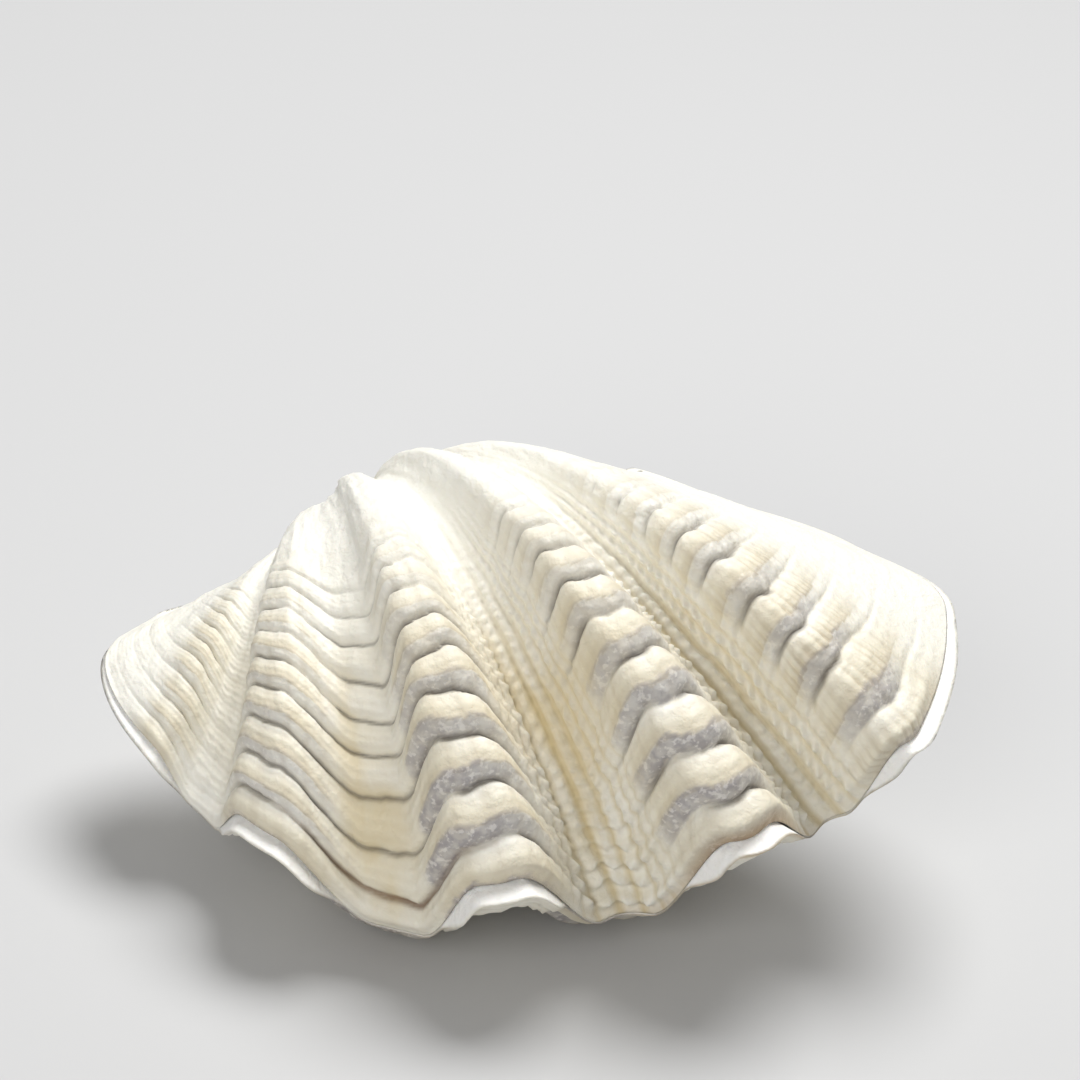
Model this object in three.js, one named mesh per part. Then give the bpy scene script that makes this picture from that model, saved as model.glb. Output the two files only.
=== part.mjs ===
// Giant clam shell: a closed pair of fluted valves at rest on the lower one, in millimetres, +Z up.
import * as THREE from 'three';

// Margin of a valve about the beak: angle from straight forward (degrees, left is negative),
// distance from the beak, and height of the wavy edge above the joining plane (mm).
const MARGIN = [
  { place: 'left hinge end', angle: -90, radius: 19.2, height: 0 },
  { place: 'left end', angle: -78.3, radius: 27.2, height: 2.5 },
  { place: 'first rib', angle: -55.8, radius: 30.7, height: 2.5 },
  { place: 'first furrow', angle: -44.5, radius: 32.6, height: -2.8 },
  { place: 'second rib', angle: -28.5, radius: 38.1, height: 4.9 },
  { place: 'second furrow', angle: -11.8, radius: 43.7, height: -4.5 },
  { place: 'third rib', angle: 2.5, radius: 48.7, height: 6 },
  { place: 'third furrow', angle: 16, radius: 49.5, height: -8.2 },
  { place: 'fourth rib', angle: 27.5, radius: 59.2, height: 6.4 },
  { place: 'fourth furrow', angle: 38, radius: 59.5, height: -5 },
  { place: 'fifth rib', angle: 46, radius: 66.2, height: 5.2 },
  { place: 'wing', angle: 62, radius: 65, height: 1.2 },
  { place: 'right end', angle: 71, radius: 55, height: -0.2 },
  { place: 'right shoulder', angle: 79.5, radius: 42.4, height: 0 },
  { place: 'right hinge end', angle: 90, radius: 34, height: 0 },
];
const FIRST_RIB = MARGIN.findIndex((point) => point.place === 'first rib');
const FIFTH_RIB = MARGIN.findIndex((point) => point.place === 'fifth rib');
const COLUMNS_PER_SPAN = 6;

// Spiral growth about the hinge axis, from the beak to the margin
const GROWTH_RATE = 0.739;
const LARGEST_TURN = 2.5;
const BEAK_SHIFT = 3;
const BEAK_WAVE = 0.4;

// Shingled growth ledges
const LEDGES = 8;
const LEDGE_RATIO = 0.928;
const RISER_SHARE = 0.35;
const CREST_RELIEF = 1.6;
const FURROW_RELIEF = 0.8;
const WING_RELIEF = 0.3;
const BEAK_STAGES = [0.5, 0.42, 0.33, 0.24, 0.15, 0.07];

// Walls
const RIM_WIDTH = 3.2;
const HINGE_PLATE = 3.5;
const INNER_GROWTH_RATE = 1.15;
const INNER_TURN = 1.9;
const INNER_BEAK = new THREE.Vector3(3, -6, 2.5);
const INNER_STAGES = [1, 0.8, 0.6, 0.42, 0.25, 0.1];
const HALF_GAP = 0.2;
const LOWER_LIP = 2.5;

// Rest on the table: lean, tilt and turn in degrees, and depth of the worn spots under the lower ribs (mm)
const REST_LEAN = -15;
const REST_TILT = 16;
const REST_TURN = 18;
const WORN = 1.2;

const SHELL_COLOUR = 0xded6be;

function smoothStep(from, to, value) {
  return THREE.MathUtils.smoothstep(value, from, to);
}

// Monotone cubic through evenly spaced values
function curveThrough(values, t) {
  const last = values.length - 1;
  const i = Math.min(Math.floor(t), last - 1);
  const step = (j) => values[j + 1] - values[j];
  const slope = (j) => {
    if (j === 0) return step(0);
    if (j === last) return step(last - 1);
    const before = step(j - 1);
    const after = step(j);
    return before * after > 0 ? (2 * before * after) / (before + after) : 0;
  };
  const f = t - i;
  const rise = f * f * (3 - 2 * f);
  const lead = f * (1 - f) * (1 - f);
  const tail = f * f * (f - 1);
  return values[i] + rise * step(i) + lead * slope(i) + tail * slope(i + 1);
}

// Wave through evenly spaced values: the ribs are round on the right and steep on the left
function waveThrough(values, t) {
  const i = Math.min(Math.floor(t), values.length - 2);
  const ribbed = i >= FIRST_RIB && i < FIFTH_RIB;
  const [from, to] = !ribbed ? [0, 1] : values[i] > values[i + 1] ? [0.1, 0.9] : [0.3, 0.77];
  return THREE.MathUtils.lerp(values[i], values[i + 1], smoothStep(from, to, t - i));
}

const ANGLES = MARGIN.map((point) => point.angle);
const RADII = MARGIN.map((point) => point.radius);
const HEIGHTS = MARGIN.map((point) => point.height);
const COLUMNS = (MARGIN.length - 1) * COLUMNS_PER_SPAN;

// Edge of a valve at column position t; side is 1 for the upper valve and -1 for the lower one
function marginAt(t, side) {
  const angle = THREE.MathUtils.degToRad(curveThrough(ANGLES, t));
  const radius = curveThrough(RADII, t);
  const height = side * waveThrough(HEIGHTS, t);
  const edge = new THREE.Vector3(radius * Math.sin(angle), -radius * Math.cos(angle), height);
  return edge.multiplyScalar(1 + (side < 0 ? lowerLip(t, angle) : 0) / radius);
}

// Reach of the lower edge past the upper one, under the upper ribs
function lowerLip(t, angle) {
  return LOWER_LIP * Math.cos(angle) * smoothStep(-3, 3, waveThrough(HEIGHTS, t));
}

function spiral(edge, stage, rate, largestTurn) {
  const turn = stage > 0 ? largestTurn * Math.tanh(-Math.log(stage) / (rate * largestTurn)) : largestTurn;
  const c = Math.cos(turn);
  const s = Math.sin(turn);
  return new THREE.Vector3(edge.x, edge.y * c + edge.z * s, edge.z * c - edge.y * s).multiplyScalar(stage);
}

// Outer face, with ribs that are lower towards the beak
function outerPoint(t, stage, side) {
  const edge = marginAt(t, side);
  edge.z *= THREE.MathUtils.lerp(BEAK_WAVE, 1, smoothStep(0.2, 0.8, stage));
  const point = spiral(edge, stage, GROWTH_RATE, LARGEST_TURN);
  point.x += BEAK_SHIFT * (1 - stage);
  return point;
}

function outerNormal(t, stage, side) {
  const last = MARGIN.length - 1;
  const reach = 0.02;
  const before = outerPoint(Math.max(t - reach, 0), stage, side);
  const along = outerPoint(Math.min(t + reach, last), stage, side).sub(before);
  const across = outerPoint(t, stage + reach, side).sub(outerPoint(t, stage - reach, side));
  return across.cross(along).normalize();
}

function ledgeRelief(t, stage, side) {
  const angle = curveThrough(ANGLES, t);
  const ribbed = smoothStep(-75, -58, angle) * (1 - smoothStep(49, 62, angle));
  const crest = smoothStep(-2.5, 2.5, side * waveThrough(HEIGHTS, t));
  const ribs = THREE.MathUtils.lerp(FURROW_RELIEF, CREST_RELIEF, crest);
  return stage * THREE.MathUtils.lerp(WING_RELIEF, ribs, ribbed);
}

function ledgePoint(t, stage, side) {
  const normal = outerNormal(t, stage, side);
  return outerPoint(t, stage, side).addScaledVector(normal, ledgeRelief(t, stage, side));
}

// Inner face, which is less wavy towards the beak
function innerPoint(t, stage, side) {
  const edge = marginAt(t, side);
  const angle = Math.abs(curveThrough(ANGLES, t));
  edge.multiplyScalar(1 - RIM_WIDTH / curveThrough(RADII, t));
  edge.y -= HINGE_PLATE * smoothStep(60, 90, angle);
  edge.z *= stage;
  return spiral(edge, stage, INNER_GROWTH_RATE, INNER_TURN).addScaledVector(INNER_BEAK, 1 - stage);
}

// Rows of the outer face from the margin to the beak: a ledge is a riser and a lip
function outerRows(side) {
  const rows = [(t) => outerPoint(t, 1, side)];
  for (let ledge = 1; ledge <= LEDGES; ledge += 1) {
    const lip = LEDGE_RATIO ** ledge;
    const foot = lip + RISER_SHARE * (lip / LEDGE_RATIO - lip);
    rows.push((t) => outerPoint(t, foot, side));
    rows.push((t) => ledgePoint(t, lip, side));
  }
  BEAK_STAGES.forEach((stage) => rows.push((t) => outerPoint(t, stage, side)));
  return rows;
}

function innerRows(side) {
  return INNER_STAGES.map((stage) => (t) => innerPoint(t, stage, side));
}

// Closed wall of one valve, with the lower one mirrored in the joining plane
function valveGeometry(side) {
  const positions = [];
  const faces = [];
  const addPoint = (point) => positions.push(point.x, point.y, side * (point.z + HALF_GAP)) / 3 - 1;
  const addFace = (a, b, c) => (side > 0 ? faces.push(a, b, c) : faces.push(a, c, b));
  const addQuad = (a, b, c, d) => {
    addFace(a, b, c);
    addFace(a, c, d);
  };
  const addGrid = (rows) => rows.map((row) => {
    const points = [];
    for (let column = 0; column <= COLUMNS; column += 1) {
      points.push(addPoint(row(column / COLUMNS_PER_SPAN)));
    }
    return points;
  });
  const outer = addGrid(outerRows(side));
  const inner = addGrid(innerRows(side));
  const outerBeak = addPoint(outerPoint(0, 0, side));
  const innerBeak = addPoint(INNER_BEAK);
  const outerLast = outer[outer.length - 1];
  const innerLast = inner[inner.length - 1];
  for (let i = 0; i < COLUMNS; i += 1) {
    for (let j = 0; j + 1 < outer.length; j += 1) {
      addQuad(outer[j][i], outer[j][i + 1], outer[j + 1][i + 1], outer[j + 1][i]);
    }
    for (let j = 0; j + 1 < inner.length; j += 1) {
      addQuad(inner[j][i + 1], inner[j][i], inner[j + 1][i], inner[j + 1][i + 1]);
    }
    addFace(outerLast[i], outerLast[i + 1], outerBeak);
    addFace(innerLast[i + 1], innerLast[i], innerBeak);
    addQuad(outer[0][i + 1], outer[0][i], inner[0][i], inner[0][i + 1]);
  }
  hingeStrip(outer, inner, 0, outerBeak, innerBeak, addFace);
  hingeStrip(outer, inner, COLUMNS, outerBeak, innerBeak, (a, b, c) => addFace(a, c, b));
  const geometry = new THREE.BufferGeometry();
  geometry.setAttribute('position', new THREE.Float32BufferAttribute(positions, 3));
  geometry.setIndex(faces);
  return geometry;
}

// Underside of the hinge between the outer and inner faces along one end column
function hingeStrip(outer, inner, column, outerBeak, innerBeak, addFace) {
  const outside = [...outer.map((row) => row[column]), outerBeak];
  const inside = [...inner.map((row) => row[column]), innerBeak];
  let i = 0;
  let j = 0;
  while (i + 1 < outside.length || j + 1 < inside.length) {
    const insideDone = j + 1 === inside.length;
    const outsideBehind = (i + 1) * (inside.length - 1) <= (j + 1) * (outside.length - 1);
    if ((insideDone || outsideBehind) && i + 1 < outside.length) {
      addFace(outside[i], outside[i + 1], inside[j]);
      i += 1;
    } else {
      addFace(outside[i], inside[j + 1], inside[j]);
      j += 1;
    }
  }
}

function valveMesh(name, side) {
  const geometry = valveGeometry(side);
  geometry.rotateY(THREE.MathUtils.degToRad(REST_LEAN));
  geometry.rotateX(THREE.MathUtils.degToRad(REST_TILT));
  geometry.rotateZ(THREE.MathUtils.degToRad(REST_TURN));
  const material = new THREE.MeshStandardMaterial({ color: SHELL_COLOUR, roughness: 0.7, metalness: 0 });
  const mesh = new THREE.Mesh(geometry, material);
  mesh.name = name;
  return mesh;
}

const shell = new THREE.Group();
shell.name = 'giant_clam_shell';
shell.add(valveMesh('upper_valve', 1), valveMesh('lower_valve', -1));

// Flat worn spots where the pair rests, and its bottom centre at the origin
const box = new THREE.Box3().setFromObject(shell);
const middle = box.getCenter(new THREE.Vector3());
const table = box.min.z + WORN;
shell.children.forEach((valve) => {
  const points = valve.geometry.attributes.position;
  for (let i = 0; i < points.count; i += 1) points.setZ(i, Math.max(points.getZ(i), table));
  valve.geometry.translate(-middle.x, -middle.y, -table);
  valve.geometry.computeVertexNormals();
});

export default shell;
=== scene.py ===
import math

import bpy
import numpy as np
from mathutils import Matrix


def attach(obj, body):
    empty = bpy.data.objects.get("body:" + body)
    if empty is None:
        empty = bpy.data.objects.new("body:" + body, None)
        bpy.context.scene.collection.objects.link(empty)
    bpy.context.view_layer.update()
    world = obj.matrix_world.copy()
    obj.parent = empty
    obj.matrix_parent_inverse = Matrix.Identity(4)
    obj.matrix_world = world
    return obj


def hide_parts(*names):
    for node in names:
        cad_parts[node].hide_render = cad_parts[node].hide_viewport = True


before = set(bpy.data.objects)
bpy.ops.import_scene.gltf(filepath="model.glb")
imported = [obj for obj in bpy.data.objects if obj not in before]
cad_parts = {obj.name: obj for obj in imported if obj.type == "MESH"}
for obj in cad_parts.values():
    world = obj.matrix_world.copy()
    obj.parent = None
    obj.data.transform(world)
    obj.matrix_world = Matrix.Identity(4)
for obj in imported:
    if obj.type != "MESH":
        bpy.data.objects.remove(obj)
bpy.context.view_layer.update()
MM = 0.001

# Margin of a valve about the beak: angle (degrees), distance (mm), height of the wavy edge (mm) and,
# on the upper valve, the strength of its growth ledges there
MARGIN = [
    ("left hinge end", -90, 19.2, 0, 0.1),
    ("left end", -78.3, 27.2, 2.5, 0.2),
    ("first rib", -55.8, 30.7, 2.5, 0.4),
    ("first furrow", -44.5, 32.6, -2.8, 0.2),
    ("second rib", -28.5, 38.1, 4.9, 0.62),
    ("second furrow", -11.8, 43.7, -4.5, 0.95),
    ("third rib", 2.5, 48.7, 6, 1),
    ("third furrow", 16, 49.5, -8.2, 0.25),
    ("fourth rib", 27.5, 59.2, 6.4, 1),
    ("fourth furrow", 38, 59.5, -5, 0.12),
    ("fifth rib", 46, 66.2, 5.2, 0.75),
    ("wing", 62, 65, 1.2, 0.1),
    ("right end", 71, 55, -0.2, 0.08),
    ("right shoulder", 79.5, 42.4, 0, 0.08),
    ("right hinge end", 90, 34, 0, 0.08),
]
ANGLES = np.array([row[1] for row in MARGIN], float)
RADII = np.array([row[2] for row in MARGIN], float)
HEIGHTS = np.array([row[3] for row in MARGIN], float)
STRENGTHS = np.array([row[4] for row in MARGIN], float)
PLACE = {row[0]: index for index, row in enumerate(MARGIN)}
LAST = len(MARGIN) - 1

# Spiral growth about the hinge axis
GROWTH_RATE = 0.739
LARGEST_TURN = 2.5
BEAK_SHIFT = 3
BEAK_WAVE = 0.4

# Growth ledges: size of each against the next one, and the share of a ledge that is its riser
LEDGE_RATIO = 0.928
RISER_SHARE = 0.35
RISER_FOOT = 1 - RISER_SHARE
SLEEVE_ROUNDNESS = 0.55

# Fine relief of the outer face (mm)
LEDGE_RELIEF = 1.35
LOWEST_RELIEF = -0.3
BROKEN_RELIEF = 0.5
CRACK_DEPTH = 0.4
CORD_RELIEF = 0.6
WRINKLE_RELIEF = 0.55
FLUTE_RELIEF = 0.2
FIFTH_RIB_SWELL = 1.1
LEFT_END_FOLDS = 1.2
LINE_RELIEF = 0.03
WEAR_RELIEF = 0.3

# Spacing of the fine relief: along the edge (mm), then across the ledges
CORD_SPACING = 2.5
FLUTE_SPACING = 1.1
STREAK_SPACING = 3.1
BARS_PER_LEDGE = 3
WRINKLES_PER_LEDGE = 2.6
GROWTH_LINES_PER_LEDGE = 4

# Walls
RIM_WIDTH = 3.2
HINGE_PLATE = 3.5
INNER_GROWTH_RATE = 1.15
INNER_TURN = 1.9
INNER_BEAK = np.array([3, -6, 2.5])
HALF_GAP = 0.2
LOWER_LIP = 2.5

# Rest on the table: degrees, then the place of the hinge origin (mm)
REST_LEAN = -15
REST_TILT = 16
REST_TURN = 18
REST_PLACE = np.array([-19.775, 20.262, 24.095])

# View of the shell: degrees from the joining plane, about its normal, and in the picture; then millimetres
VIEW_RISE = 52.6
VIEW_SWING = -18.2
VIEW_ROLL = 2.5
VIEW_DISTANCE = 477
VIEW_SIDE = 21.96
VIEW_UP = 2.17
LENS = 150

# Studio
SENSOR_WIDTH = 36
FLOOR_HALF = 3
FLOOR_GREY = 0.58
WORLD_STRENGTH = 0.26

# Mesh fineness
COLUMNS = 400
FLUTE_CROWDING = 1.4
GROWN_ROWS = 176
COARSE_STAGE = 0.5
BEAK_ROWS = 36
FIRST_STAGE = 0.012
RIM_ROWS = 5
INNER_STAGES = np.array([1, 0.9, 0.8, 0.6, 0.42, 0.25, 0.1])
INNER_COLUMNS_PER_SPAN = 6
INNER_CLEARANCE = 1
EDGE_SAMPLES = np.linspace(0, LAST, 100 * LAST + 1)

rng = np.random.default_rng(11)
LATTICE = rng.random((128, 128))


def smooth_step(low, high, value):
    f = np.clip((value - low) / (high - low), 0, 1)
    return f * f * (3 - 2 * f)


def mix(a, b, share):
    return a + (b - a) * share


def bump_at(value, centre, width):
    return np.exp(-((value - centre) / width) ** 2)


# Smooth noise from 0 to 1 on a plane
def noise(x, y, shift=0):
    x = np.asarray(x, float) + 17.3 * shift
    y = np.asarray(y, float) + 5.7 * shift
    i = np.floor(x).astype(int)
    j = np.floor(y).astype(int)
    fx = x - i
    fy = y - j
    fx = fx * fx * (3 - 2 * fx)
    fy = fy * fy * (3 - 2 * fy)
    size = len(LATTICE)
    near = mix(LATTICE[i % size, j % size], LATTICE[(i + 1) % size, j % size], fx)
    far = mix(LATTICE[i % size, (j + 1) % size], LATTICE[(i + 1) % size, (j + 1) % size], fx)
    return mix(near, far, fy)


def rough_noise(x, y, shift=0):
    middle = noise(2.1 * x, 2.1 * y, shift + 1)
    fine = noise(4.3 * x, 4.3 * y, shift + 2)
    return (noise(x, y, shift) + 0.5 * middle + 0.25 * fine) / 1.75


# Monotone cubic through evenly spaced values
def curve_through(values, t):
    step = np.diff(values)
    slope = np.zeros(len(values))
    slope[0] = step[0]
    slope[-1] = step[-1]
    product = step[:-1] * step[1:]
    total = np.where(product > 0, step[:-1] + step[1:], 1)
    slope[1:-1] = np.where(product > 0, 2 * product / total, 0)
    i = np.clip(np.floor(t).astype(int), 0, len(step) - 1)
    f = t - i
    rise = f * f * (3 - 2 * f)
    lead = f * (1 - f) ** 2
    tail = f * f * (f - 1)
    return values[i] + rise * step[i] + lead * slope[i] + tail * slope[i + 1]


# Wave through evenly spaced values: the ribs are round on the right and steep on the left
def wave_through(values, t):
    i = np.clip(np.floor(t).astype(int), 0, len(values) - 2)
    f = t - i
    ribbed = (i >= PLACE["first rib"]) & (i < PLACE["fifth rib"])
    steep = np.where(values[i] > values[i + 1], smooth_step(0.1, 0.9, f), smooth_step(0.3, 0.77, f))
    return mix(values[i], values[i + 1], np.where(ribbed, steep, smooth_step(0, 1, f)))


# Edge of a valve; side is 1 for the upper valve and -1 for the lower one
def margin_at(t, side):
    angle = np.radians(curve_through(ANGLES, t))
    radius = curve_through(RADII, t)
    edge = np.stack([radius * np.sin(angle), -radius * np.cos(angle), side * wave_through(HEIGHTS, t)], -1)
    if side < 0:
        edge *= (1 + lower_lip(t, angle) / radius)[..., None]
    return edge


# Length along the upper edge up to each column position
def length_at(t):
    steps = np.linalg.norm(np.diff(margin_at(EDGE_SAMPLES, 1), axis=0), axis=1)
    return np.interp(t, EDGE_SAMPLES, np.concatenate([[0], np.cumsum(steps)]))


# Column positions along the edge, closest on the fluted fifth rib
def edge_columns():
    crowding = 1 + FLUTE_CROWDING * bump_at(EDGE_SAMPLES, PLACE["fifth rib"] - 0.1, 0.5)
    steps = np.diff(length_at(EDGE_SAMPLES)) * crowding[1:]
    reach = np.concatenate([[0], np.cumsum(steps)])
    return np.interp(np.linspace(0, reach[-1], COLUMNS), reach, EDGE_SAMPLES)


# Reach of the lower edge past the upper one, under the upper ribs
def lower_lip(t, angle):
    return LOWER_LIP * np.cos(angle) * smooth_step(-3, 3, wave_through(HEIGHTS, t))


def spiral(edge, stage, rate, largest_turn):
    turn = largest_turn * np.tanh(-np.log(stage) / (rate * largest_turn))
    c = np.cos(turn)
    s = np.sin(turn)
    x, y, z = edge[..., 0], edge[..., 1], edge[..., 2]
    return np.stack([x, y * c + z * s, z * c - y * s], -1) * stage[..., None]


def outer_point(t, stage, side):
    edge = margin_at(t, side)
    edge[..., 2] *= mix(BEAK_WAVE, 1, smooth_step(0.2, 0.8, stage))
    point = spiral(edge, stage, GROWTH_RATE, LARGEST_TURN)
    point[..., 0] += BEAK_SHIFT * (1 - stage)
    return point


def inner_point(t, stage, side):
    edge = margin_at(t, side) * (1 - RIM_WIDTH / curve_through(RADII, t))[..., None]
    edge[..., 1] -= HINGE_PLATE * smooth_step(60, 90, np.abs(curve_through(ANGLES, t)))
    edge[..., 2] *= stage
    return spiral(edge, stage, INNER_GROWTH_RATE, INNER_TURN) + INNER_BEAK * (1 - stage)[..., None]


# Inner face in coarse facets, so that it keeps clear of the outer one
def inner_face(t, side):
    coarse = np.linspace(0, LAST, LAST * INNER_COLUMNS_PER_SPAN + 1)
    columns, stages = np.meshgrid(coarse, INNER_STAGES)
    facets = inner_point(columns, stages, side)
    clearance = INNER_CLEARANCE * smooth_step(0, 0.1, 1 - stages)
    facets -= grid_normals(facets) * clearance[..., None]
    rows = [[np.interp(t, coarse, row[:, axis]) for axis in range(3)] for row in facets]
    return np.moveaxis(np.array(rows), 1, 2)


def grid_normals(points):
    across = np.gradient(points, axis=0)
    along = np.gradient(points, axis=1)
    normal = np.cross(along, across)
    length = np.linalg.norm(normal, axis=-1, keepdims=True)
    return normal / np.maximum(length, 1e-9)


class OuterFace:
    """Grid over a valve's outer face, with the places of its ribs, furrows and ledges."""

    def __init__(self, t, stage, side):
        self.t = t
        self.stage = stage
        self.side = side
        self.length = length_at(t)
        self.grown = smooth_step(0.38, 0.7, stage)
        self.find_ribs()
        self.find_ledges()
        self.find_patterns()

    # How near each point is to a named place on the edge
    def near(self, name, width, shift=0):
        return bump_at(self.t, PLACE[name] + shift, width)

    # Crests, furrows and the strength of the ledges, which fade beyond the first and fifth ribs
    def find_ribs(self):
        angle = curve_through(ANGLES, self.t)
        self.ribbed = smooth_step(-66, -56, angle) * (1 - smooth_step(49, 60, angle))
        self.crest = smooth_step(-3, 3, self.side * wave_through(HEIGHTS, self.t)) * self.ribbed
        beside = self.near("fourth furrow", 0.4, 0.2)
        self.furrow = np.maximum(self.ribbed - self.crest, beside)
        if self.side > 0:
            strength = wave_through(STRENGTHS, self.t)
        else:
            strength = mix(0.12, mix(0.4, 1, self.crest), self.ribbed)
        strength *= mix(0.25, 1, smooth_step(-0.6, -0.1, self.t - PLACE["first rib"]))
        strength *= 1 - 0.85 * smooth_step(0.1, 0.55, self.t - PLACE["fifth rib"])
        strength *= 1 - 0.9 * smooth_step(0.3, 0.7, beside)
        self.strength = strength

    # The ledge count grows towards the beak: a lip at each whole number, then sleeve, crack and riser
    def find_ledges(self):
        count = np.log(np.maximum(self.stage, 0.02)) / math.log(LEDGE_RATIO)
        wander = 0.45 * (noise(1.1 * self.t, 0.6 * count) - 0.5)
        wander += 0.12 * (rough_noise(7 * self.t, 1.3 * count, 3) - 0.5)
        self.count = count + wander * self.ribbed * smooth_step(0, 0.5, count)
        part = self.count - np.floor(self.count)
        self.on_riser = part > RISER_FOOT
        self.along = np.clip(1 - part / RISER_FOOT, 0, 1)
        self.drop = np.clip((part - RISER_FOOT) / RISER_SHARE, 0, 1)
        seen = smooth_step(0.25, 0.5, noise(2.7 * self.t, 0.8 * self.count, 9))
        self.crack = bump_at(part, RISER_FOOT, 0.05) * seen

    # Cords in the furrows, the comb of flutes on the fifth rib and growth lines
    def find_patterns(self):
        drift = 1.5 * noise(self.t, 2 * self.count, 15)
        self.cords = np.cos(2 * np.pi * self.length / CORD_SPACING + drift)
        self.beaded = self.near("third furrow", 0.55, 0.1) + self.near("fourth furrow", 0.7)
        comb = self.crest * self.near("fifth rib", 0.4, -0.1) * smooth_step(0.55, 0.85, self.stage)
        self.comb = comb * (0.3 + noise(9 * self.t, 2 * self.count, 22)) * self.along
        self.lines = np.sin(2 * np.pi * GROWTH_LINES_PER_LEDGE * self.count)


# Rounded sleeves, with broken riser faces and a crack at their foot
def ledge_relief(face):
    height = np.where(face.on_riser, face.drop, face.along)
    ledge = np.sin(np.pi / 2 * height) ** np.where(face.on_riser, 1, SLEEVE_ROUNDNESS)
    sleeve = np.floor(face.count + RISER_SHARE)
    uneven = 0.75 + 0.5 * noise(1.7 * face.t, 3.7 * sleeve, 5)
    relief = LEDGE_RELIEF * face.stage * face.strength * ledge * uneven * mix(0.2, 1, face.grown)
    riser = face.on_riser * smooth_step(0, 0.08, face.drop) * (1 - smooth_step(0.85, 1, face.drop))
    broken = rough_noise(22 * face.t, 6 * face.count, 7) - 0.45
    relief -= BROKEN_RELIEF * riser * face.crest * face.strength * broken * face.grown
    return relief - CRACK_DEPTH * face.crack * face.crest * face.grown


# Beaded cords in the furrows, and wrinkles near the end of the third one
def furrow_relief(face):
    bars = np.cos(2 * np.pi * BARS_PER_LEDGE * face.count)
    beads = 0.8 * face.cords + 0.2 * bars + 0.5 * face.cords * bars
    plain = face.furrow * np.minimum(1, 0.2 + face.beaded) * (1 - face.strength)
    waves = np.cos(2 * np.pi * WRINKLES_PER_LEDGE * face.count + 2 * noise(4 * face.t, face.count, 16))
    wrinkled = face.near("third furrow", 0.35, 0.1) * smooth_step(0.8, 0.9, face.stage)
    return CORD_RELIEF * plain * beads * face.grown + WRINKLE_RELIEF * wrinkled * waves


# Flutes on the fifth rib; on the upper valve, also the rib's round left side and folds at the left end
def rib_relief(face):
    relief = FLUTE_RELIEF * face.comb * np.sin(2 * np.pi * face.length / FLUTE_SPACING)
    if face.side > 0:
        folds = noise(2.2 * face.t, 9 * face.stage, 21) - 0.5
        relief += FIFTH_RIB_SWELL * face.near("fifth rib", 0.25, -0.4) * face.grown
        relief += LEFT_END_FOLDS * face.near("left end", 0.6) * folds * face.grown
    return relief


# Growth lines and wear
def fine_relief(face):
    wear = rough_noise(9 * face.t, 22 * face.stage, 4) - 0.5
    return LINE_RELIEF * face.lines * face.grown * mix(0.3, 1, face.ribbed) + WEAR_RELIEF * wear


# Relief of the outer face in millimetres, which fades out at the edge
def relief_of(face):
    relief = ledge_relief(face) + furrow_relief(face) + rib_relief(face) + fine_relief(face)
    fading = 0.02 if face.side > 0 else 0.08
    return np.maximum(relief, LOWEST_RELIEF) * smooth_step(0, fading, 1 - face.stage)


# Grey of the broken risers, partly their own grey and partly painted shade on these downward-facing faces,
# darkest on the left sides of the ribs
def riser_grey_and_shade(face):
    crests = face.t if face.side > 0 else face.t - 1
    across = crests - 2 * np.round(crests / 2)
    leftward = 1 - 0.75 * smooth_step(-0.1, 0.6, across)
    ragged = face.along + 0.3 * (rough_noise(14 * face.t, 4 * face.count, 18) - 0.5)
    band = np.where(face.on_riser, smooth_step(0, 0.12, face.drop), smooth_step(0.84, 0.97, ragged))
    band = np.maximum(band, bump_at(face.count, 0, 0.2) * face.near("fourth rib", 0.7))
    band *= leftward * smooth_step(0.5, 0.92, face.stage) * smooth_step(0.3, 0.95, face.strength)
    return band * smooth_step(0.05, 0.4, face.crest)


# Yellow stains in the furrows
def stains(face):
    second = face.near("second furrow", 0.55) * smooth_step(0.5, 0.8, face.stage)
    third = face.near("third furrow", 0.6) * bump_at(face.stage, 0.75, 0.22)
    fourth = face.near("fourth furrow", 0.6, -0.1) * bump_at(face.stage, 0.7, 0.25)
    patches = 0.3 + 0.7 * smooth_step(0.35, 0.7, rough_noise(3 * face.t, 9 * face.stage, 12))
    return np.clip((second + third + 0.4 * fourth) * patches, 0, 1)


# Values that the colours follow
def colour_masks(face):
    streaks = np.cos(2 * np.pi * face.length / STREAK_SPACING + 3 * noise(face.t, face.count, 17))
    return {
        # Riser grey: partly the broken face's own grey, partly painted shade
        "riser": riser_grey_and_shade(face),
        # Where the cracks get near-black painted shade
        "crack": face.crack * smooth_step(0.3, 0.8, face.strength) * mix(0.8, 1, face.crest) * face.grown,
        "scar": bump_at(face.count, RISER_FOOT, 0.08) * face.near("second furrow", 0.7),
        # Place along each sleeve, used for its painted highlight at the crack and painted shade towards
        # the lip
        "sleeve": face.along,
        "crest": face.crest,
        "furrow": face.furrow * face.grown,
        "cord": mix(1, 0.5 + 0.5 * face.cords, np.minimum(1, face.beaded)),
        "streak": face.crest * smooth_step(0.2, 0.9, streaks),
        "length": face.length,
        "comb": face.comb,
        "line": (0.5 - 0.5 * face.lines) * mix(0.15, 1, face.ribbed),
        "wing": 1 - face.ribbed,
        # Nearness to the beak, for its worn white and for painted light that pales the top
        "beak_wear_and_light": 1 - face.stage,
        "stain": stains(face),
        "edge": smooth_step(0.98, 0.997, face.stage) * face.near("fourth rib", 0.9),
        "lining": np.zeros_like(face.t),
    }


def rest_matrix():
    lean = Matrix.Rotation(math.radians(REST_LEAN), 3, "Y")
    tilt = Matrix.Rotation(math.radians(REST_TILT), 3, "X")
    turn = Matrix.Rotation(math.radians(REST_TURN), 3, "Z")
    return np.array(turn @ tilt @ lean)


# Hinge frame in millimetres to the resting part in metres
def at_rest(points):
    return (points @ rest_matrix().T + REST_PLACE) * MM


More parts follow.
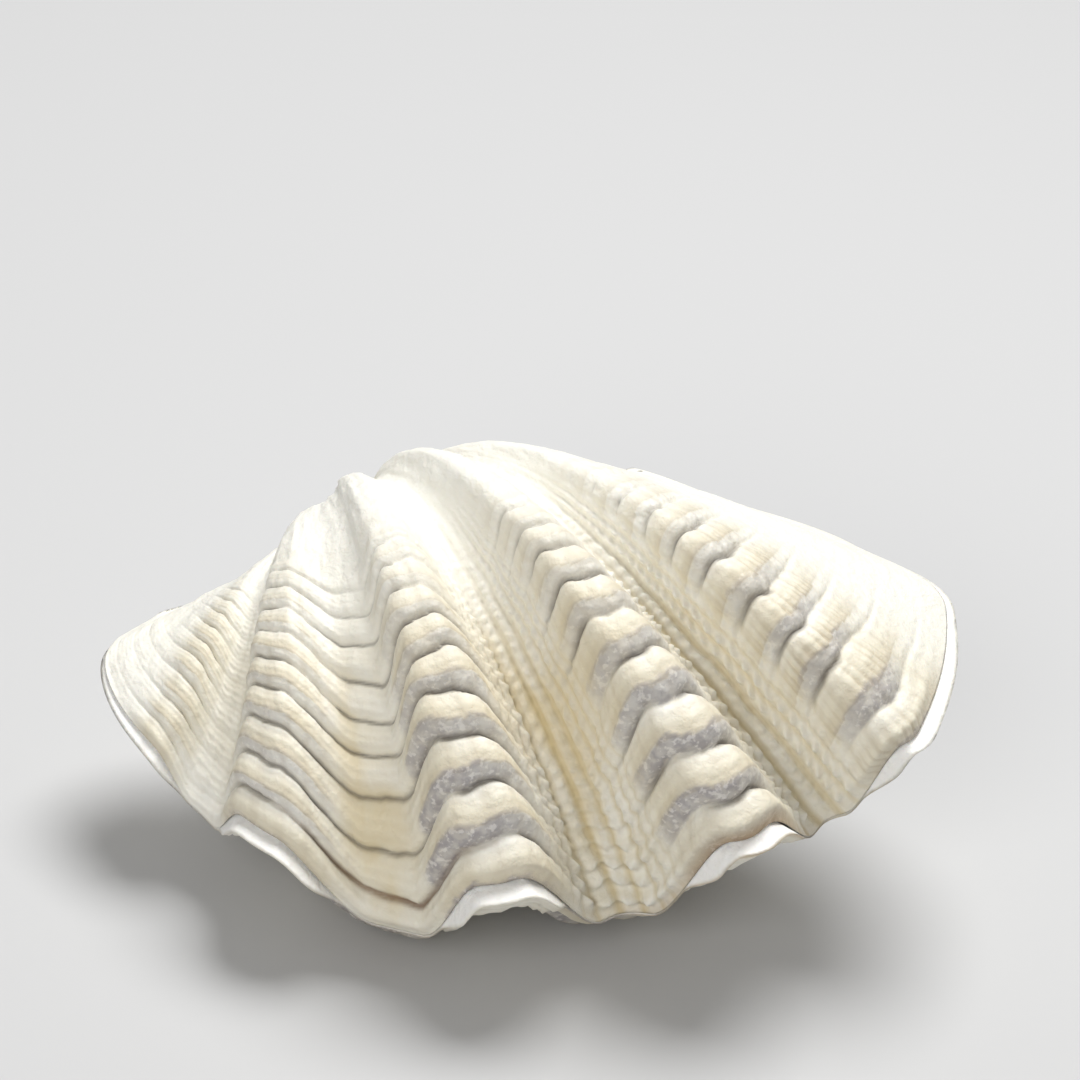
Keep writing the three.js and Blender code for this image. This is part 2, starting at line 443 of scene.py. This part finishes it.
# Triangles between two lines of points that start side by side
def zip_lines(points, first, second):
    lengths = []
    for line in (first, second):
        steps = np.linalg.norm(np.diff(points[line], axis=0), axis=1)
        lengths.append(np.concatenate([[0], np.cumsum(steps) / steps.sum()]))
    faces = []
    i = 0
    j = 0
    while i + 1 < len(first) or j + 1 < len(second):
        first_done = i + 1 == len(first)
        if first_done or (j + 1 < len(second) and lengths[1][j + 1] < lengths[0][i + 1]):
            faces.append((second[j], second[j + 1], first[i]))
            j += 1
        else:
            faces.append((first[i + 1], first[i], second[j]))
            i += 1
    return faces


# Faces of a closed wall whose rows run from the inner beak over the rim to the outer beak
def wall_faces(points, rows, inside_rows):
    index = np.arange(rows * COLUMNS).reshape(rows, COLUMNS)
    corners = [index[:-1, :-1], index[:-1, 1:], index[1:, 1:], index[1:, :-1]]
    faces = np.stack(corners, -1).reshape(-1, 4).tolist()
    inner_beak = rows * COLUMNS
    outer_beak = inner_beak + 1
    for i in range(COLUMNS - 1):
        faces.append((inner_beak, index[0, i + 1], index[0, i]))
        faces.append((index[-1, i], index[-1, i + 1], outer_beak))
    for column in (0, COLUMNS - 1):
        inside = [inner_beak, *index[:inside_rows, column]]
        outside = [outer_beak, *index[:inside_rows - 1:-1, column]]
        strip = zip_lines(points, outside, inside)
        faces += strip if column == 0 else [face[::-1] for face in strip]
    return faces


# One valve as a closed wall: outer face, rim, inner face and hinge strips
def build_valve(name, side):
    t = edge_columns()
    grown = np.linspace(1, COARSE_STAGE, GROWN_ROWS)
    beak = np.linspace(COARSE_STAGE, FIRST_STAGE, BEAK_ROWS + 1)[1:]
    face = OuterFace(*np.meshgrid(t, np.concatenate([grown, beak])), side)
    outer = outer_point(face.t, face.stage, side)
    outer = outer + grid_normals(outer) * relief_of(face)[..., None]
    inner = inner_face(t, side)
    share = np.linspace(0, 1, RIM_ROWS + 2)[1:-1]
    rim = mix(outer[0][None], inner[0][None], share[:, None, None])
    wall = np.concatenate([inner[::-1], rim[::-1], outer])
    inside_rows = len(inner) + RIM_ROWS
    beaks = np.array([INNER_BEAK, [BEAK_SHIFT, 0, 0]])
    points = np.concatenate([wall.reshape(-1, 3), beaks])
    points[:, 2] = side * (points[:, 2] + HALF_GAP)
    faces = wall_faces(points, len(wall), inside_rows)
    if side < 0:
        faces = [corners[::-1] for corners in faces]
    points = at_rest(points)
    points[:, 2] = np.maximum(points[:, 2], 0)

    mesh = bpy.data.meshes.new(name)
    mesh.from_pydata(points.tolist(), [], faces)
    for key, values in colour_masks(face).items():
        inside = np.full(inside_rows * COLUMNS, float(key == "lining"))
        ends = (key == "lining", values[-1, 0])
        attribute = mesh.attributes.new(key, "FLOAT", "POINT")
        attribute.data.foreach_set("value", np.concatenate([inside, values.ravel(), ends]))
    mesh.polygons.foreach_set("use_smooth", [True] * len(faces))
    mesh.update()
    valve = bpy.data.objects.new(name, mesh)
    bpy.context.collection.objects.link(valve)
    return valve


class Nodes:
    """Small helper for building a node tree."""

    def __init__(self, name):
        self.material = bpy.data.materials.new(name)
        self.material.use_nodes = True
        self.tree = self.material.node_tree
        self.shader = self.tree.nodes["Principled BSDF"]

    def add(self, kind, **settings):
        node = self.tree.nodes.new(kind)
        for key, value in settings.items():
            setattr(node, key, value)
        return node

    def link(self, source, target):
        self.tree.links.new(source, target)

    def mask(self, name):
        return self.add("ShaderNodeAttribute", attribute_name=name).outputs["Fac"]

    def noise(self, scale, detail=4):
        position = self.add("ShaderNodeTexCoord").outputs["Object"]
        node = self.add("ShaderNodeTexNoise")
        node.inputs["Scale"].default_value = scale
        node.inputs["Detail"].default_value = detail
        self.link(position, node.inputs["Vector"])
        return node.outputs["Fac"]

    def ramp(self, value, low, high):
        node = self.add("ShaderNodeMapRange")
        node.inputs["From Min"].default_value = low
        node.inputs["From Max"].default_value = high
        self.link(value, node.inputs["Value"])
        return node.outputs["Result"]

    def math(self, operation, first, second):
        node = self.add("ShaderNodeMath", operation=operation)
        for socket, value in zip(node.inputs, (first, second)):
            if isinstance(value, (int, float)):
                socket.default_value = value
            else:
                self.link(value, socket)
        return node.outputs["Value"]

    # Colour laid over another where a mask is, by an amount
    def blend(self, below, colour, mask, amount=1):
        node = self.add("ShaderNodeMix", data_type="RGBA")
        self.link(self.math("MULTIPLY", mask, amount), node.inputs["Factor"])
        for socket, value in ((node.inputs["A"], below), (node.inputs["B"], colour)):
            if isinstance(value, tuple):
                socket.default_value = (*value, 1)
            else:
                self.link(value, socket)
        return node.outputs["Result"]


IVORY = (0.91, 0.89, 0.81)
CREAM = (0.80, 0.74, 0.58)
TAN = (0.52, 0.44, 0.31)
STRAW = (0.62, 0.52, 0.31)
LAVENDER = (0.31, 0.285, 0.30)
FLECK = (0.60, 0.57, 0.56)
CRACK_SHADE = (0.055, 0.035, 0.025)
YELLOW = (0.66, 0.50, 0.20)
OCHRE = (0.42, 0.25, 0.07)
BROWN = (0.19, 0.09, 0.03)
PORCELAIN = (0.96, 0.95, 0.92)


# Colour of the outer face and the lining
def shell_colour(nodes, grain):
    cloud = nodes.ramp(nodes.noise(110), 0.35, 0.65)
    fleck = nodes.ramp(nodes.noise(1400, 3), 0.54, 0.62)
    crest = nodes.mask("crest")
    sleeve = nodes.mask("sleeve")

    # Cream sleeves with painted light: a painted highlight of paler ivory at the crack, where the sleeve
    # rises and faces up, and painted shade in tan towards the lip; real tan streaks and growth lines; and
    # painted shade in tan in the grooves of the flutes
    colour = nodes.blend(IVORY, CREAM, cloud, 0.6)
    # Painted highlight near the crack, painted shade in cream and tan towards the lip
    colour = nodes.blend(colour, CREAM, nodes.math("MULTIPLY", crest, nodes.ramp(sleeve, 0.1, 0.6)), 0.85)
    colour = nodes.blend(colour, TAN, nodes.math("MULTIPLY", crest, nodes.ramp(sleeve, 0.6, 1)), 0.55)
    colour = nodes.blend(colour, TAN, nodes.mask("streak"), 0.2)
    colour = nodes.blend(colour, TAN, nodes.mask("line"), 0.12)
    # Painted shade in tan in the flute grooves, in step with the flute relief
    turns = nodes.math("MULTIPLY", nodes.mask("length"), 2 * math.pi / FLUTE_SPACING)
    flutes = nodes.math("MULTIPLY", nodes.mask("comb"), nodes.math("SINE", turns, 0))
    colour = nodes.blend(colour, TAN, nodes.ramp(flutes, 0, -0.6), 0.6)

    # Straw between the cords, yellow stains, ivory at the wings, and ivory towards the beak, partly the
    # worn white of the beak and partly painted light that makes the top of the shell paler
    between = nodes.math("MULTIPLY", nodes.mask("furrow"), nodes.ramp(nodes.mask("cord"), 0.6, 0.1))
    colour = nodes.blend(colour, STRAW, between, 0.8)
    colour = nodes.blend(colour, YELLOW, nodes.mask("stain"), 0.5)
    # Ivory towards the beak: worn white plus painted light on the top of the shell
    colour = nodes.blend(colour, IVORY, nodes.ramp(nodes.mask("beak_wear_and_light"), 0.32, 0.6))
    colour = nodes.blend(colour, IVORY, nodes.mask("wing"), 0.75)

    # Grey broken risers with pale flecks, the grey partly painted shade; near-black painted shade in the
    # cracks; a brown scar, an ochre edge and a porcelain lining
    grey = nodes.blend(LAVENDER, FLECK, fleck)
    patchy = nodes.math("ADD", nodes.math("MULTIPLY", grain, 0.3), 0.55)
    # Riser grey laid on, partly painted shade on the downward-facing risers
    colour = nodes.blend(colour, grey, nodes.math("MULTIPLY", nodes.mask("riser"), patchy))
    # Near-black painted shade in the cracks
    colour = nodes.blend(colour, CRACK_SHADE, nodes.mask("crack"), 0.8)
    colour = nodes.blend(colour, BROWN, nodes.mask("scar"), 0.8)
    colour = nodes.blend(colour, OCHRE, nodes.mask("edge"), 0.5)
    return nodes.blend(colour, PORCELAIN, nodes.mask("lining"))


def shell_material():
    nodes = Nodes("shell")
    grain = nodes.ramp(nodes.noise(900, 6), 0.4, 0.62)
    nodes.link(shell_colour(nodes, grain), nodes.shader.inputs["Base Color"])
    rough = nodes.math("ADD", nodes.math("MULTIPLY", grain, 0.25), 0.42)
    nodes.link(rough, nodes.shader.inputs["Roughness"])
    nodes.shader.inputs["Subsurface Weight"].default_value = 0.06
    nodes.shader.inputs["Subsurface Radius"].default_value = (0.003, 0.002, 0.0012)
    bump = nodes.add("ShaderNodeBump")
    bump.inputs["Strength"].default_value = 0.3
    bump.inputs["Distance"].default_value = 0.0003
    nodes.link(grain, bump.inputs["Height"])
    nodes.link(bump.outputs["Normal"], nodes.shader.inputs["Normal"])
    return nodes.material


def floor_material():
    nodes = Nodes("pale_floor")
    nodes.shader.inputs["Base Color"].default_value = (FLOOR_GREY, FLOOR_GREY, FLOOR_GREY, 1)
    nodes.shader.inputs["Roughness"].default_value = 0.8
    return nodes.material


def add_floor():
    mesh = bpy.data.meshes.new("floor")
    signs = [(-1, -1), (1, -1), (1, 1), (-1, 1)]
    mesh.from_pydata([(x * FLOOR_HALF, y * FLOOR_HALF, 0) for x, y in signs], [], [(0, 1, 2, 3)])
    floor = bpy.data.objects.new("floor", mesh)
    bpy.context.collection.objects.link(floor)
    floor.data.materials.append(floor_material())


def add_camera():
    rise, swing, roll = (math.radians(angle) for angle in (VIEW_RISE, VIEW_SWING, VIEW_ROLL))
    back = np.array([math.sin(swing) * math.cos(rise), -math.cos(swing) * math.cos(rise), math.sin(rise)])
    level = np.array([math.cos(swing), math.sin(swing), 0])
    upright = np.cross(back, level)
    right = level * math.cos(roll) - upright * math.sin(roll)
    up = level * math.sin(roll) + upright * math.cos(roll)
    eye = at_rest(right * VIEW_SIDE + up * VIEW_UP + back * VIEW_DISTANCE)
    axes = rest_matrix() @ np.stack([right, up, back], -1)
    camera = bpy.data.objects.new("camera", bpy.data.cameras.new("camera"))
    camera.data.lens = LENS
    camera.data.sensor_width = SENSOR_WIDTH
    camera.data.clip_start = 0.01
    placed = Matrix(axes.tolist()).to_4x4()
    placed.translation = eye.tolist()
    camera.matrix_world = placed
    bpy.context.collection.objects.link(camera)
    bpy.context.scene.camera = camera


def add_light(name, place, size, power):
    data = bpy.data.lights.new(name, "AREA")
    data.shape = "DISK"
    data.size = size
    data.energy = power
    light = bpy.data.objects.new(name, data)
    light.location = place
    direction = -light.location.normalized()
    light.rotation_euler = direction.to_track_quat("-Z", "Y").to_euler()
    bpy.context.collection.objects.link(light)


def add_world():
    world = bpy.data.worlds.new("studio")
    world.use_nodes = True
    background = world.node_tree.nodes["Background"]
    background.inputs["Color"].default_value = (1, 1, 1, 1)
    background.inputs["Strength"].default_value = WORLD_STRENGTH
    bpy.context.scene.world = world


material = shell_material()
for node, side, slot in (("upper_valve", 1, "shell_upper"), ("lower_valve", -1, "shell_lower")):
    valve = build_valve("shell_" + node, side)
    valve.data.materials.append(material)
    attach(valve, "root")
    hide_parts(node)

bpy.context.scene.view_settings.view_transform = "Standard"
add_floor()
add_camera()
add_world()
add_light("top_light", place=(0.1, 0.18, 0.62), size=0.4, power=4.2)
add_light("front_light", place=(-0.3, -0.6, 0.45), size=0.4, power=2.1)
